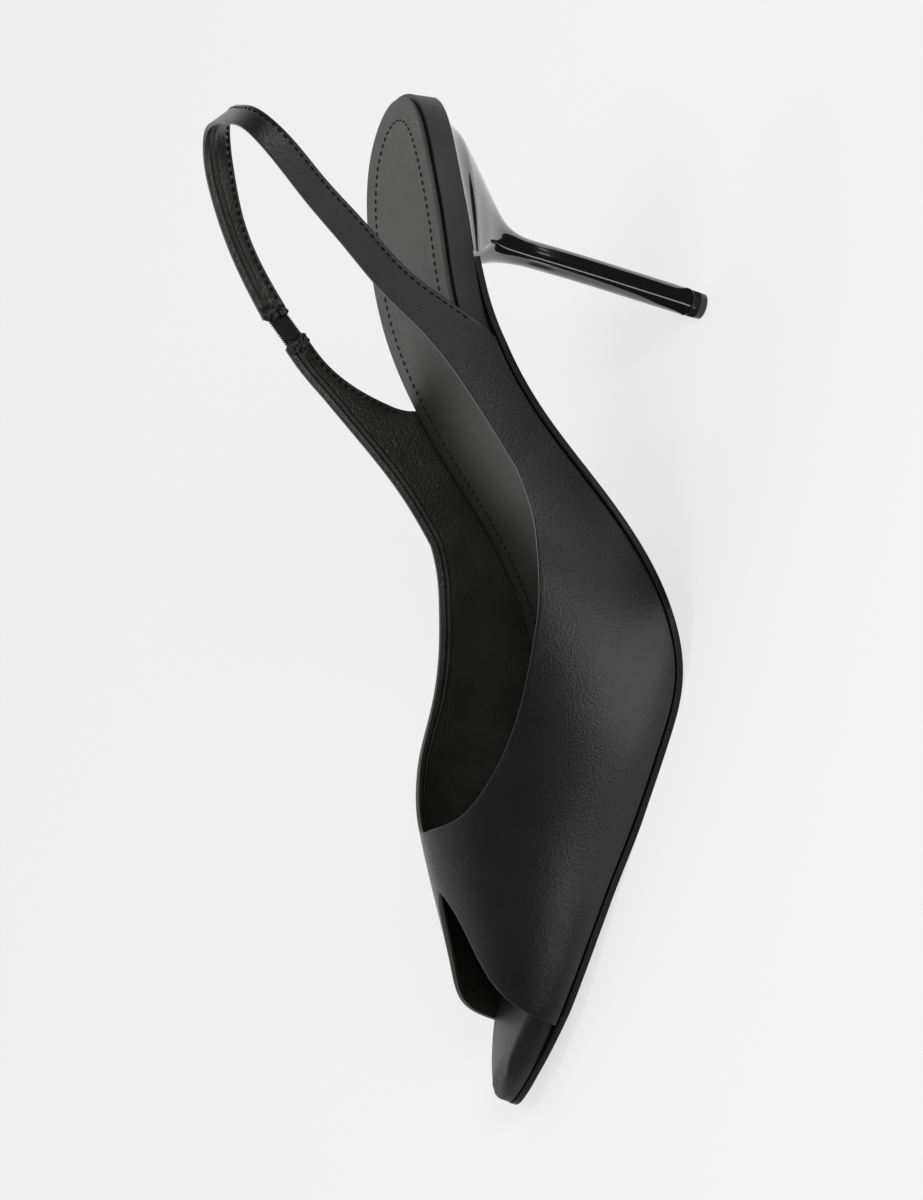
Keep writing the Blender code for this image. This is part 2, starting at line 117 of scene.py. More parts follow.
# Ridge of the last: share of the length, height by the instep, offset, and roundness of each side.
RIDGE = np.array([
    # along, height, offset, near, far
    (0.240, 3.60, -0.010, 0.60, 0.50),
    (0.400, 2.70, -0.030, 0.70, 0.60),
    (0.500, 2.10, -0.050, 0.90, 0.75),
    (0.600, 1.55, -0.060, 1.05, 0.90),
    (0.700, 1.18, -0.060, 1.15, 1.00),
    (0.765, 0.985, -0.050, 1.15, 1.00),
    (0.815, 0.820, -0.030, 1.10, 1.00),
    (0.880, 0.600, -0.010, 1.05, 1.00),
    (0.950, 0.420, 0.000, 1.00, 1.00),
])
# Each side's topline: share of the length, and share of the way from the feather to the ridge.
NEAR_TOP = np.array([
    (0.747, 1.000), (0.742, 0.830), (0.730, 0.690), (0.704, 0.585), (0.667, 0.502),
    (0.630, 0.451), (0.594, 0.416), (0.554, 0.378), (0.509, 0.328), (0.464, 0.281),
    (0.416, 0.225), (0.387, 0.197), (0.354, 0.172), (0.327, 0.169), (0.298, 0.174),
])
FAR_TOP = np.array([
    (0.747, 1.000), (0.743, 0.860), (0.728, 0.780), (0.704, 0.690), (0.658, 0.545),
    (0.608, 0.420), (0.553, 0.344), (0.493, 0.290), (0.454, 0.258), (0.421, 0.244),
    (0.394, 0.249), (0.365, 0.283),
])

# Where the quarters end at the feather, and the peep toe's edge from the feather to the ridge.
NEAR_CORNER = 0.246
FAR_CORNER = 0.292
PEEP = np.array([
    # round, near, far
    (0.00, 0.922, 0.909),
    (0.22, 0.919, 0.908),
    (0.44, 0.910, 0.904),
    (0.64, 0.891, 0.892),
    (0.77, 0.862, 0.868),
    (0.84, 0.837, 0.842),
    (0.91, 0.818, 0.820),
    (1.00, 0.805, 0.805),
])
# Strap and tab: places by the length, the seat's width and the instep, width by the strap, lean in degrees.
STRAP = np.array([
    # along, out, rise, wide, lean
    (0.2595, 0.536, 0.08, 1.61, 32.0),
    (0.2389, 0.518, 0.29, 1.29, 33.0),
    (0.2165, 0.502, 0.52, 1.11, 35.0),
    (0.1848, 0.500, 0.76, 1.05, 36.0),
    (0.1485, 0.496, 1.06, 0.97, 34.0),
    (0.1105, 0.473, 1.33, 0.90, 31.0),
    (0.0912, 0.385, 1.47, 0.80, 30.0),
    (0.0838, 0.211, 1.49, 0.78, 32.0),
    (0.0768, 0.023, 1.43, 0.82, 36.0),
    (0.0712, -0.188, 1.35, 0.90, 42.0),
    (0.0768, -0.376, 1.28, 0.96, 48.0),
    (0.1000, -0.478, 1.225, 0.97, 51.0),
    (0.1302, -0.503, 1.19, 0.92, 50.0),
    (0.1603, -0.520, 1.14, 0.83, 50.0),
    (0.1956, -0.525, 1.06, 0.80, 49.0),
    (0.2435, -0.521, 0.93, 0.87, 48.0),
])
TAB = np.array([
    # along, out, rise, wide, lean
    (0.3333, -0.545, 0.38, 1.85, 33.0),
    (0.3166, -0.532, 0.57, 1.24, 35.0),
    (0.3019, -0.534, 0.68, 0.92, 34.0),
    (0.2830, -0.535, 0.78, 0.82, 35.0),
    (0.2658, -0.535, 0.83, 0.82, 39.0),
])
# Heel's sections from the seat to the ground: along by the length, heights by the rise, half by the seat.
HEEL = np.array([
    # back, back_z, corner, half, front, front_z, round, dip
    (0.0020, 0.923, 0.1620, 0.487, 0.1620, 0.787, 0.00, 0.0040),
    (0.0205, 0.834, 0.1550, 0.350, 0.1600, 0.736, 0.10, 0.0080),
    (0.0460, 0.757, 0.1390, 0.250, 0.1548, 0.683, 0.35, 0.0040),
    (0.0690, 0.696, 0.1292, 0.181, 0.1507, 0.647, 0.70, 0.0000),
    (0.0923, 0.634, 0.1254, 0.128, 0.1461, 0.614, 1.00, 0.0000),
    (0.1043, 0.587, 0.1246, 0.095, 0.1424, 0.573, 1.00, 0.0000),
    (0.1095, 0.535, 0.1248, 0.079, 0.1403, 0.529, 1.00, 0.0000),
    (0.1097, 0.458, 0.1248, 0.073, 0.1391, 0.458, 1.00, 0.0000),
    (0.1093, 0.271, 0.1240, 0.069, 0.1387, 0.271, 1.00, 0.0000),
    (0.1101, 0.020, 0.1247, 0.069, 0.1395, 0.020, 1.00, 0.0000),
])

# Fineness of the sheets
ACROSS = 25
VAMP_RIBS = 84
RIDGE_RIBS = 14
STRAP_RIBS = 170
TAB_RIBS = 22
PAD_ROWS = 121
PAD_ACROSS = 41
HEEL_SHEET = 28
BREAST_SHEET = 16

NEAR, FAR = 1.0, -1.0


# Shape of the last

def spline(xs, ys, x):
    """Natural cubic through a table's rows."""
    h = np.diff(xs)
    g = np.diff(ys) / h
    n = len(xs)
    m = np.zeros((n, n))
    r = np.zeros(n)
    m[0, 0] = m[-1, -1] = 1.0
    for i in range(1, n - 1):
        m[i, i - 1:i + 2] = h[i - 1], 2 * (h[i - 1] + h[i]), h[i]
        r[i] = 6 * (g[i] - g[i - 1])
    k = np.linalg.solve(m, r)
    x = np.clip(np.asarray(x, float), xs[0], xs[-1])
    i = np.clip(np.searchsorted(xs, x) - 1, 0, n - 2)
    a = (xs[i + 1] - x) / h[i]
    b = 1 - a
    bend = ((a ** 3 - a) * k[i] + (b ** 3 - b) * k[i + 1]) * h[i] ** 2 / 6
    return a * ys[i] + b * ys[i + 1] + bend


def along_rows(rows, count):
    """The table's rows resampled evenly by distance along their first two columns."""
    steps = np.hypot(*(np.diff(rows[:, :2], axis=0) * (1.0, 0.25)).T)
    at = np.r_[0.0, np.cumsum(steps)]
    want = np.linspace(0, at[-1], count)
    return np.stack([spline(at, column, want) for column in rows.T], -1)


def footbed(u):
    """Height of the footbed's top at a distance from the heel."""
    return LEVEL + SEAT_RISE * spline(FOOTBED[:, 0], FOOTBED[:, 1], np.asarray(u) / LENGTH)


def half(u, side):
    """Half width of the footbed at a distance from the heel."""
    t = np.asarray(u, float) / LENGTH
    w = BALL_WIDTH * spline(FOOTBED[:, 0], FOOTBED[:, 2 if side > 0 else 3], t)
    seat = SEAT_WIDTH / (2 * FOOTBED[0, 2] * BALL_WIDTH)
    w = w * (seat + (1 - seat) * np.clip((t - SEAT_END) / SEAT_BLEND, 0, 1))
    heel = np.clip(1 - t / HEEL_CURVE, 0, 1)
    toe = np.clip((t - TOE_CURVE) / (1 - TOE_CURVE), 0, 1)
    w = w * (1 - heel ** HEEL_POWER) ** (1 / HEEL_POWER)
    return w * (1 - toe ** TOE_POWER) ** (1 / TOE_POWER)


def insole_thick(u):
    """Thickness of the insole at a distance from the heel."""
    share = np.interp(np.asarray(u) / LENGTH, INSOLE_THINS, (0, 1))
    return INSOLE_REAR + (INSOLE_FORE - INSOLE_REAR) * share


def below(u, depth):
    """Along and height of the point that is a depth under the footbed, square to it."""
    d = 0.002 * LENGTH
    s = (footbed(u + d) - footbed(u - d)) / (2 * d)
    n = np.sqrt(1 + s * s)
    return u + depth * s / n, footbed(u) - depth / n


TOP_U = np.linspace(0, LENGTH, 300)
FEATHER_U, FEATHER_Z = below(TOP_U, insole_thick(TOP_U))


def feather(u):
    """Height of the insole's lower edge, where the upper starts."""
    return np.interp(u, FEATHER_U, FEATHER_Z)


def skin(u, side, s):
    """Outer face of the upper, s going from the feather (0) to the ridge (1)."""
    t = np.asarray(u) / LENGTH
    zr = LEVEL + INSTEP * spline(RIDGE[:, 0], RIDGE[:, 1], t)
    xr = BALL_WIDTH * spline(RIDGE[:, 0], RIDGE[:, 2], t)
    power = spline(RIDGE[:, 0], RIDGE[:, 3 if side > 0 else 4], t)
    foot = np.maximum(half(u, side), half(np.interp(u, FEATHER_U, TOP_U), side))
    w = side * (foot + GAP + WALL)
    turn = np.asarray(s) * math.pi / 2
    x = xr + (w - xr) * np.maximum(np.cos(turn), 0) ** power + side * SIDE_FULL * np.sin(2 * turn)
    z = feather(u) + (zr - feather(u)) * np.sin(turn)
    return np.stack(np.broadcast_arrays(x, u, z), -1)


def band(rows, count, across):
    """A flat band swept along a table of centre, width and lean."""
    u = rows[:, 0] * LENGTH
    line = np.stack([rows[:, 1] * SEAT_WIDTH, u, footbed(u) + rows[:, 2] * INSTEP], -1)
    at = np.r_[0.0, np.cumsum(np.linalg.norm(np.diff(line, axis=0), axis=1))]
    want = np.linspace(0, at[-1], count)
    c = np.stack([spline(at, line[:, i], want) for i in range(3)], -1)
    wide = STRAP_WIDTH * spline(at, rows[:, 3], want)
    lean = np.radians(spline(at, rows[:, 4], want))
    along = np.gradient(c, axis=0)
    along /= np.linalg.norm(along, axis=1)[:, None]
    up = np.stack([0 * lean, np.cos(lean), np.sin(lean)], -1)
    up -= (up * along).sum(1)[:, None] * along
    up /= np.linalg.norm(up, axis=1)[:, None]
    v = np.linspace(-0.5, 0.5, across)
    return c[:, None] + up[:, None] * (wide[:, None] * v)[..., None]


def vamp_half(side, ribs, ridge_ribs, across):
    """Ribs from feather to ridge or topline, from the peep toe's edge back to the quarter's rear."""
    top_rows = NEAR_TOP if side > 0 else FAR_TOP
    corner = NEAR_CORNER if side > 0 else FAR_CORNER
    peep = PEEP[:, 1 if side > 0 else 2]
    ridge = np.linspace(peep[-1], top_rows[0, 0], ridge_ribs + 1)[:-1]
    top = np.r_[np.stack([ridge, 0 * ridge + 1], -1), along_rows(top_rows, ribs - ridge_ribs)]
    t = np.linspace(0, 1, ribs)
    foot = peep[0] + (corner - peep[0]) * t
    v = np.linspace(0, 1, across)
    straight = peep[0] + (peep[-1] - peep[0]) * v
    bow = spline(PEEP[:, 0], peep, v) - straight
    fade = np.clip(1 - t / BOW_FADE, 0, 1) ** 2
    u = foot[:, None] + (top[:, :1] - foot[:, None]) * v + fade[:, None] * bow
    s = top[:, 1:] * v
    return skin(u * LENGTH, side, s)


def join(vamp, strap):
    """The vamp's ribs and the strap's in one run, the topline eased where they meet."""
    ribs = np.concatenate([vamp, strap])
    ease = 0.5 * np.linspace(0, 1, ACROSS)[:, None]
    for _ in range(40):
        for i in range(len(vamp) - 10, len(vamp) + 10):
            ribs[i] += ease * ((ribs[i - 1] + ribs[i + 1]) / 2 - ribs[i])
    return ribs


NEAR_RIBS = join(vamp_half(NEAR, VAMP_RIBS, RIDGE_RIBS, ACROSS), band(STRAP, STRAP_RIBS, ACROSS))
FAR_RIBS = join(vamp_half(FAR, VAMP_RIBS, RIDGE_RIBS, ACROSS), band(TAB, TAB_RIBS, ACROSS))

top_low, top_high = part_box("top_piece")
STEM_U = (HEEL[-1, 0] + HEEL[-1, 4]) / 2 * LENGTH
SHIFT = np.array([
    (top_low[0] + top_high[0]) / 2,
    (top_low[1] + top_high[1]) / 2 - (LENGTH / 2 - STEM_U),
    0.0,
])


def place(points):
    """From (out, along, height) to the part's axes."""
    p = np.asarray(points, float)
    return np.stack([p[..., 0], LENGTH / 2 - p[..., 1], p[..., 2]], -1) + SHIFT


# Materials

class Value:
    """A socket that can be reckoned with like a number."""

    def __init__(self, finish, socket):
        self.finish = finish
        self.socket = socket

    def reckon(self, operation, *others):
        return self.finish.node("ShaderNodeMath", {"operation": operation}, dict(enumerate((self, *others))))

    def __add__(self, other):
        return self.reckon("ADD", other)

    __radd__ = __add__

    def __mul__(self, other):
        return self.reckon("MULTIPLY", other)

    __rmul__ = __mul__

    def __sub__(self, other):
        return self.reckon("SUBTRACT", other)

    def __rsub__(self, other):
        return self.reckon("MULTIPLY", -1.0).reckon("ADD", other)

    def __abs__(self):
        return self.reckon("ABSOLUTE")

    def ease(self, low, high):
        """0 below low, 1 above high, and a smooth rise between them."""
        return self.finish.node(
            "ShaderNodeMapRange", {"interpolation_type": "SMOOTHSTEP"}, {0: self, 1: low, 2: high}
        )

    def line(self, at, width):
        """1 on a line at that value, falling to 0 a width away."""
        return 1.0 - abs(self - at).ease(0.0, width)


class Finish:
    """A material built from nodes around one Principled shader."""

    def __init__(self, name, colour, roughness, **more):
        self.material = bpy.data.materials.new(name)
        self.material.use_nodes = True
        self.tree = self.material.node_tree
        self.shader = self.tree.nodes["Principled BSDF"]
        self.shader.inputs["Base Color"].default_value = (*colour, 1.0)
        self.shader.inputs["Roughness"].default_value = roughness
        for key, value in more.items():
            self.shader.inputs[key.replace("_", " ")].default_value = value
        self.place = self.node("ShaderNodeTexCoord", {}, {}, "Object")

    def node(self, kind, settings, inputs, output=0):
        made = self.tree.nodes.new(kind)
        for key, value in settings.items():
            setattr(made, key, value)
        for key, value in inputs.items():
            if isinstance(value, Value):
                self.tree.links.new(value.socket, made.inputs[key])
            else:
                made.inputs[key].default_value = value
        return Value(self, made.outputs[output])

    def give(self, key, value):
        self.tree.links.new(value.socket, self.shader.inputs[key])

    def noise(self, scale, detail=2.0, roughness=0.5):
        settings = {"Vector": self.place, "Scale": scale, "Detail": detail, "Roughness": roughness}
        return self.node("ShaderNodeTexNoise", {}, settings)

    def cells(self, scale, smooth=0.3):
        settings = {"Vector": self.place, "Scale": scale, "Smoothness": smooth}
        return self.node("ShaderNodeTexVoronoi", {"feature": "SMOOTH_F1"}, settings)

    def attribute(self, name):
        return self.node("ShaderNodeAttribute", {"attribute_name": name}, {}, "Fac")

    def mix(self, share, one, other):
        return self.node("ShaderNodeMix", {"data_type": "RGBA"}, {0: share, 6: (*one, 1), 7: (*other, 1)}, 2)

    def relief(self, height, depth, under=None):
        """Raises the surface by height times depth in metres."""
        inputs = {"Height": height, "Distance": depth, "Strength": 1.0}
        if under is not None:
            inputs["Normal"] = under
        return self.node("ShaderNodeBump", {}, inputs)


def leather(name, colour, light, roughness, grain, depth, spec=0.5):
    """Leather with pores of a size and a depth, and a slow unevenness."""
    made = Finish(name, colour, roughness, Specular_IOR_Level=spec)
    pores = made.cells(1 / grain)
    fine = made.noise(3.1 / grain, 3.0, 0.6)
    slow = made.noise(95.0, 2.0)
    made.give("Base Color", made.mix(slow.ease(0.3, 0.7), colour, light))
    made.give("Roughness", roughness - 0.05 + 0.10 * made.noise(240.0, 3.0))
    bumps = made.relief(pores + fine * 0.5, depth)
    made.surface = made.relief(slow, 0.0001, bumps)
    made.give("Normal", made.surface)
    return made


upper_leather = leather(
    "upper_leather", (0.0048, 0.0046, 0.0046), (0.0062, 0.0060, 0.0060),
    roughness=0.34, grain=0.00058, depth=0.000052, spec=0.45,
)
lining_leather = leather(
    "lining_leather", (0.0110, 0.0110, 0.0103), (0.0165, 0.0165, 0.0154),
    roughness=0.30, grain=0.00085, depth=0.000110,
)
band_leather = leather(
    "band_leather", (0.0040, 0.0040, 0.0042), (0.0062, 0.0062, 0.0064),
    roughness=0.46, grain=0.00036, depth=0.000022,
)
sock_leather = leather(
    "sock_leather", (0.0165, 0.0165, 0.0150), (0.0190, 0.0190, 0.0172),
    roughness=0.42, grain=0.00045, depth=0.000012,
)
# The rim's finish is coloured far lighter than the leather: a painted highlight standing in for the light
# caught along the cut and turned edges.
painted_edge_highlight = Finish("painted_edge_highlight", (0.040, 0.039, 0.038), 0.38)
outsole_gloss = Finish("outsole_gloss", (0.0025, 0.0025, 0.0025), 0.30, Specular_IOR_Level=0.22)
heel_lacquer = Finish(
    "heel_lacquer", (0.0045, 0.0045, 0.005), 0.12, Coat_Weight=1.0, Coat_Roughness=0.03, Coat_IOR=1.85
)
tip_rubber = Finish("tip_rubber", (0.010, 0.010, 0.010), 0.30)
thread = Finish("thread", (0.0015, 0.0015, 0.0015), 0.75, Specular_IOR_Level=0.15)
webbing = Finish("webbing", (0.006, 0.006, 0.006), 0.65)
for finish, size, depth in (
    (painted_edge_highlight, 2600.0, 0.00003), (outsole_gloss, 900.0, 0.00001), (heel_lacquer, 160.0, 0.000012),
    (tip_rubber, 1500.0, 0.00001), (thread, 5200.0, 0.00004), (webbing, 4200.0, 0.00008),
):
    finish.give("Normal", finish.relief(finish.noise(size, 2.0), depth))


# Seam line, folded edge and gathers of the upper, from its distances to the sheet's edges

SEAM_INSET = 0.0011
SEAM_WIDTH = 0.0009
outer_seam = upper_leather.attribute("rear").line(SEAM_INSET, SEAM_WIDTH)
upper_leather.give("Normal", upper_leather.relief(outer_seam * -1.0, 0.00016, upper_leather.surface))

to_top = lining_leather.attribute("top")
to_rear = lining_leather.attribute("rear")
to_end = lining_leather.attribute("end")
folded_edge = 1.0 - to_top.ease(0.0013, 0.0019)
second_fold = to_top.line(0.0026, 0.0007) * 0.55
inner_seam = to_rear.line(SEAM_INSET, SEAM_WIDTH) * -0.5
folds = lining_leather.relief(folded_edge + second_fold + inner_seam, 0.00042, lining_leather.surface)
gathers = lining_leather.noise(340.0, 1.0) * (1.0 - to_end.ease(0.002, 0.009))
lining_leather.give("Normal", lining_leather.relief(gathers, 0.0010, folds))


# Building the pieces

WELD = 1e-6


def sheet(grid, attributes=()):
    """A mesh on a grid of points, with a float attribute for each name and table of values."""
    rows, columns = grid.shape[:2]
    bm = bmesh.new()
    bmesh.ops.create_grid(bm, x_segments=columns - 1, y_segments=rows - 1, size=1.0)
    layers = [(bm.verts.layers.float.new(key), values.reshape(-1)) for key, values in attributes]
    for vert, point, i in zip(bm.verts, place(grid).reshape(-1, 3), range(rows * columns)):
        vert.co = point
        for layer, values in layers:
            vert[layer] = values[i]
    return bm


def join_meshes(parts):
    """One bmesh from several."""
    whole = bmesh.new()
    for part in parts:
        holder = bpy.data.meshes.new("holder")
        part.to_mesh(holder)
        part.free()
        whole.from_mesh(holder)
        bpy.data.meshes.remove(holder)
    return whole


def close_ends(bm):
    """Welds a rolled-up sheet's seam, fills its open ends and turns its faces outward."""
    bmesh.ops.remove_doubles(bm, verts=bm.verts, dist=WELD)
    bmesh.ops.holes_fill(bm, edges=[e for e in bm.edges if e.is_boundary], sides=0)
    bmesh.ops.recalc_face_normals(bm, faces=bm.faces)


def bridge_rims(bm):
    """Joins two facing sheets round their rims into a solid, its faces outward."""
    bmesh.ops.bridge_loops(bm, edges=[e for e in bm.edges if e.is_boundary])
    bmesh.ops.recalc_face_normals(bm, faces=bm.faces)


def object_from(bm, name, finishes):
    """An object in the scene with a bmesh's mesh and some finishes."""
    mesh = bpy.data.meshes.new(name)
    bm.to_mesh(mesh)
    bm.free()
    for finish in finishes:
        mesh.materials.append(finish.material)
    made = bpy.data.objects.new(name, mesh)
    bpy.context.scene.collection.objects.link(made)
    return made


def piece(bm, name, finishes, node):
    """A piece of the sandal, in place of a solid where a node is named."""
    bmesh.ops.remove_doubles(bm, verts=bm.verts, dist=WELD)
    made = object_from(bm, name, finishes)
    made.data.polygons.foreach_set("use_smooth", [True] * len(made.data.polygons))
    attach(made, "root")
    if node:
        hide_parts(node)
    return made


def round_edges(made, width, steps):
    """Rounds a piece's sharp edges."""
    bevel = made.modifiers.new("edge", "BEVEL")
    bevel.width = width
    bevel.segments = steps
    bevel.limit_method = "ANGLE"
    bevel.angle_limit = math.radians(50)


def distances(ribs):
    """Distance of each point along its rib from the low edge and from the top edge."""
    steps = np.linalg.norm(np.diff(ribs, axis=1), axis=2)
    low = np.concatenate([np.zeros((len(ribs), 1)), np.cumsum(steps, axis=1)], 1)
    return low, low[:, -1:] - low


def rib_normals(ribs):
    """Unit normals of a sheet of points."""
    across = np.gradient(ribs, axis=1)
    along = np.gradient(ribs, axis=0)
    n = np.cross(along, across)
    return n / np.linalg.norm(n, axis=2)[..., None]


# Upper: both halves of the vamp with the strap and the tab, as one sheet with a wall

NO_EDGE = 0.02
EDGE_WALL = WALL * 0.8


def upper_sheet(ribs):
    """One half, with each point's distance from its rear, top, nearest free edge and strap's end."""
    low, top = distances(ribs)
    rear = low + np.where(np.arange(len(ribs)) < VAMP_RIBS, NO_EDGE, 0.0)[:, None]
    edge = np.minimum(top, rear)
    edge[:RIDGE_RIBS] = NO_EDGE
    middle = ribs[:, ribs.shape[1] // 2]
    front = np.cumsum(np.r_[0.0, np.linalg.norm(np.diff(middle, axis=0), axis=1)])
    edge = np.minimum(edge, front[:, None])
    end = np.broadcast_to((front[-1] - front)[:, None], low.shape)
    return sheet(ribs, (("rear", rear), ("top", top), ("edge", edge), ("end", end)))


def thin_edges(made, reach, least):
    """A vertex group that thins the wall towards its free edges."""
    group = made.vertex_groups.new(name="wall_thickness")
    for i, item in enumerate(made.data.attributes["edge"].data):
        share = min(item.value / reach, 1.0)
        group.add([i], least + (1 - least) * share * (2 - share), "REPLACE")
    return group.name


near_sheet = upper_sheet(NEAR_RIBS)
far_sheet = upper_sheet(FAR_RIBS)
bmesh.ops.reverse_faces(near_sheet, faces=near_sheet.faces)
upper_mesh = join_meshes([near_sheet, far_sheet])
upper = piece(upper_mesh, "upper_leather", [upper_leather, lining_leather, painted_edge_highlight], "upper")
wall = upper.modifiers.new("wall", "SOLIDIFY")
wall.thickness = WALL
wall.offset = -1
wall.use_even_offset = True
wall.material_offset = 1
# The rim takes the lighter edge finish, which is a painted highlight along the edges.
wall.material_offset_rim = 2
wall.vertex_group = thin_edges(upper, reach=0.004, least=0.6)
round_edges(upper, 0.0004, 3)


# Footbed's pieces

def coons(far, near, back, front):
    """A four sided sheet of (out, along) between its edges."""
    t = np.linspace(0, 1, len(near))[:, None, None]
    v = np.linspace(0, 1, len(back))[None, :, None]
    sides = far[:, None] * (1 - v) + near[:, None] * v
    ends = back[None] * (1 - t) + front[None] * t
    corners = (back[0] * (1 - v) + back[-1] * v) * (1 - t) + (front[0] * (1 - v) + front[-1] * v) * t
    return sides + ends - corners


def edge_points(u, side, grow):
    """Points on one edge of the footbed's outline, moved out square to it."""
    d = 0.0002 * LENGTH
    lead = (half(np.minimum(u + d, LENGTH), side) - half(np.maximum(u - d, 0), side)) / (2 * d)
    n = np.sqrt(1 + lead * lead)
    g = grow(u) if callable(grow) else grow
    return np.stack([side * (half(u, side) + g / n), u - g * lead / n], -1)


def outline(grow, flat_back=None, flat_front=None):
    """Edges far, near, back and front of a pad that follows the footbed."""
    start = END_SHARE * LENGTH if flat_back is None else flat_back
    end = (1 - END_SHARE) * LENGTH if flat_front is None else flat_front
    u = np.linspace(start, end, PAD_ROWS)
    far, near = edge_points(u, FAR, grow), edge_points(u, NEAR, grow)
    v = np.linspace(-1, 1, PAD_ACROSS)
    ends = []
    for i, tip, flat in ((0, 0.0, flat_back), (-1, LENGTH, flat_front)):
        if flat is not None:
            ends.append(far[i] + (near[i] - far[i]) * (v[:, None] + 1) / 2)
            continue
        w = u[i] + (tip - u[i]) * (1 - np.abs(v) ** 1.7)
        arc = np.where(v[:, None] < 0, edge_points(w, FAR, grow), edge_points(w, NEAR, grow))
        arc[PAD_ACROSS // 2, 0] = 0.0
        ends.append(arc)
    return far, near, ends[0], ends[1]


def pad(name, grid, upper_face, lower_face, finish, node, edge, steps):
    """A solid between two faces over a sheet of (out, along), its edges rounded."""
    x, u = grid[..., 0], grid[..., 1]
    faces = [sheet(np.stack([x, *face(x, u)], -1)) for face in (upper_face, lower_face)]
    bmesh.ops.reverse_faces(faces[0], faces=faces[0].faces)
    whole = join_meshes(faces)
    bridge_rims(whole)
    made = piece(whole, name, [finish], node)
    round_edges(made, edge, steps)
    return made


def toe_dome(x, u):
    """Height added by the padded toe, falling to the edges."""
    w = np.where(x > 0, half(u, NEAR), half(u, FAR))
    s = x / np.maximum(w, np.abs(x) + 1e-6)
    near_side = np.clip((s - TOE_CREST) / (1 - TOE_CREST), 0, 1) ** CREST_POWER
    far_side = TOE_PAD_FAR * np.clip((TOE_CREST - s) / (1 + TOE_CREST), 0, 1) ** 2
    tip = (1 - np.clip((LENGTH - u) / TIP_ROUND, 0, 1)) ** 2
    start = np.clip((u / LENGTH - PAD_START) / PAD_BLEND, 0, 1)
    start = start * start * (3 - 2 * start)
    return start * TOE_PAD * (TOE_PAD_RISE - np.maximum(near_side + far_side, tip))


def lip(u):
    """How far the outsole stands out past the footbed, further where the upper is in between."""
    share = np.interp(u / LENGTH, LIP_GROWS, (0, 1))
    under_upper = (GAP + WALL) * np.interp(u / LENGTH, UPPER_ENDS, (1, 0))
    return (under_upper + OUTSOLE_LIP + SOCK_INSET) * share - SOCK_INSET


def outsole_under(x, u):
    """The outsole's lower face, flat where it stands on the floor."""
    along, z = below(u, insole_thick(u) + GAP + OUTSOLE)
    return along, np.maximum(z, 0.0)


pad(
    "wrapped_insole", coons(*outline(0.0)),
    lambda x, u: (u, footbed(u) + toe_dome(x, u)), lambda x, u: below(u, insole_thick(u)),
    band_leather, "insole", 0.0009, 4,
)
pad(
    "sock", coons(*outline(-SOCK_INSET, flat_front=SOCK_END * LENGTH)),
    lambda x, u: below(u, -GAP - SOCK), lambda x, u: below(u, -GAP),
    sock_leather, "sock", 0.0004, 3,
)
pad(
    "outsole", coons(*outline(lip, flat_back=OUTSOLE_START * LENGTH)),
    lambda x, u: below(u, insole_thick(u) + GAP), outsole_under,
    outsole_gloss, "outsole", 0.0005, 3,
)


# Heel

def heel_ring(row, seat):
    """Near half of one section: back to corner along the side, then across the breast."""
    back, back_z, corner, wide, front, front_z, rounded, dip = row
    t = 1 - np.cos(np.linspace(0, math.pi / 2, HEEL_SHEET + 1))
    u = back + (corner - back) * t
    cup = half(t * HEEL[0, 2] * LENGTH, NEAR) / half(HEEL[0, 2] * LENGTH, NEAR)
    x = wide * (cup * (1 - rounded) + np.sqrt(np.clip(1 - (1 - t) ** 2, 0, 1)) * rounded)
    g = np.linspace(0, 1, BREAST_SHEET + 1)[1:]
    u_flat = corner + (front - corner) * g - dip * np.sin(math.pi * g)
    u_round = corner + (front - corner) * np.sin(g * math.pi / 2)
    x_front = wide * ((1 - g) * (1 - rounded) + np.cos(g * math.pi / 2) * rounded)
    u = np.r_[u, u_flat * (1 - rounded) + u_round * rounded] * LENGTH
    x = np.r_[x, x_front] * SEAT_WIDTH
    z = back_z + (front_z - back_z) * (u / LENGTH - back) / (front - back)
    z = LEVEL + SEAT_RISE * z
    follow = feather(u) - SEAT_GAP
    z = np.minimum(z * (1 - seat) + follow * seat, follow - (1 - seat) * SEAT_DROP)
    return np.stack([x, u, z], -1)


def heel_rings():
    """Whole sections from the seat down: close together in the cup, far apart on the stem."""
    at = np.arange(len(HEEL), dtype=float)
    rings = []
    for k in np.r_[np.linspace(0, 7, 71), 7.5, 8, 8.5, 9]:
        row = [spline(at, column, k) for column in HEEL.T]
        ring = heel_ring(row, max(0.0, 1 - k))
        rings.append(np.r_[ring, ring[-2:0:-1] * (-1, 1, 1), ring[:1]])
    rings[-1][:, 2] = TOP_PIECE + GAP
    return np.array(rings)


heel_mesh = sheet(heel_rings())
close_ends(heel_mesh)
heel = piece(heel_mesh, "heel", [heel_lacquer], "heel")
heel.data.set_sharp_from_angle(angle=math.radians(38))

stem_half = (HEEL[-1, 3] * SEAT_WIDTH, (HEEL[-1, 4] - HEEL[-1, 0]) * LENGTH / 2, 1)
tip_mesh = bmesh.new()
bmesh.ops.create_cone(
    tip_mesh, cap_ends=True, segments=64, radius1=TIP_FOOT, radius2=TIP_HEAD, depth=TOP_PIECE
)
bmesh.ops.scale(tip_mesh, vec=stem_half, verts=tip_mesh.verts)
bmesh.ops.translate(tip_mesh, vec=Vector(place([0.0, STEM_U, TOP_PIECE / 2])), verts=tip_mesh.verts)
top_piece = piece(tip_mesh, "top_piece", [tip_rubber], "top_piece")
round_edges(top_piece, 0.0005, 4)


# Elastic link, and the leather gathered round its ends

ELASTIC_RIBS = 14
RIB_DEPTH = 0.00034
GATHER_HALF = 0.0029
GATHER_THICK = 0.00115
GATHER_PAST = 0.0012


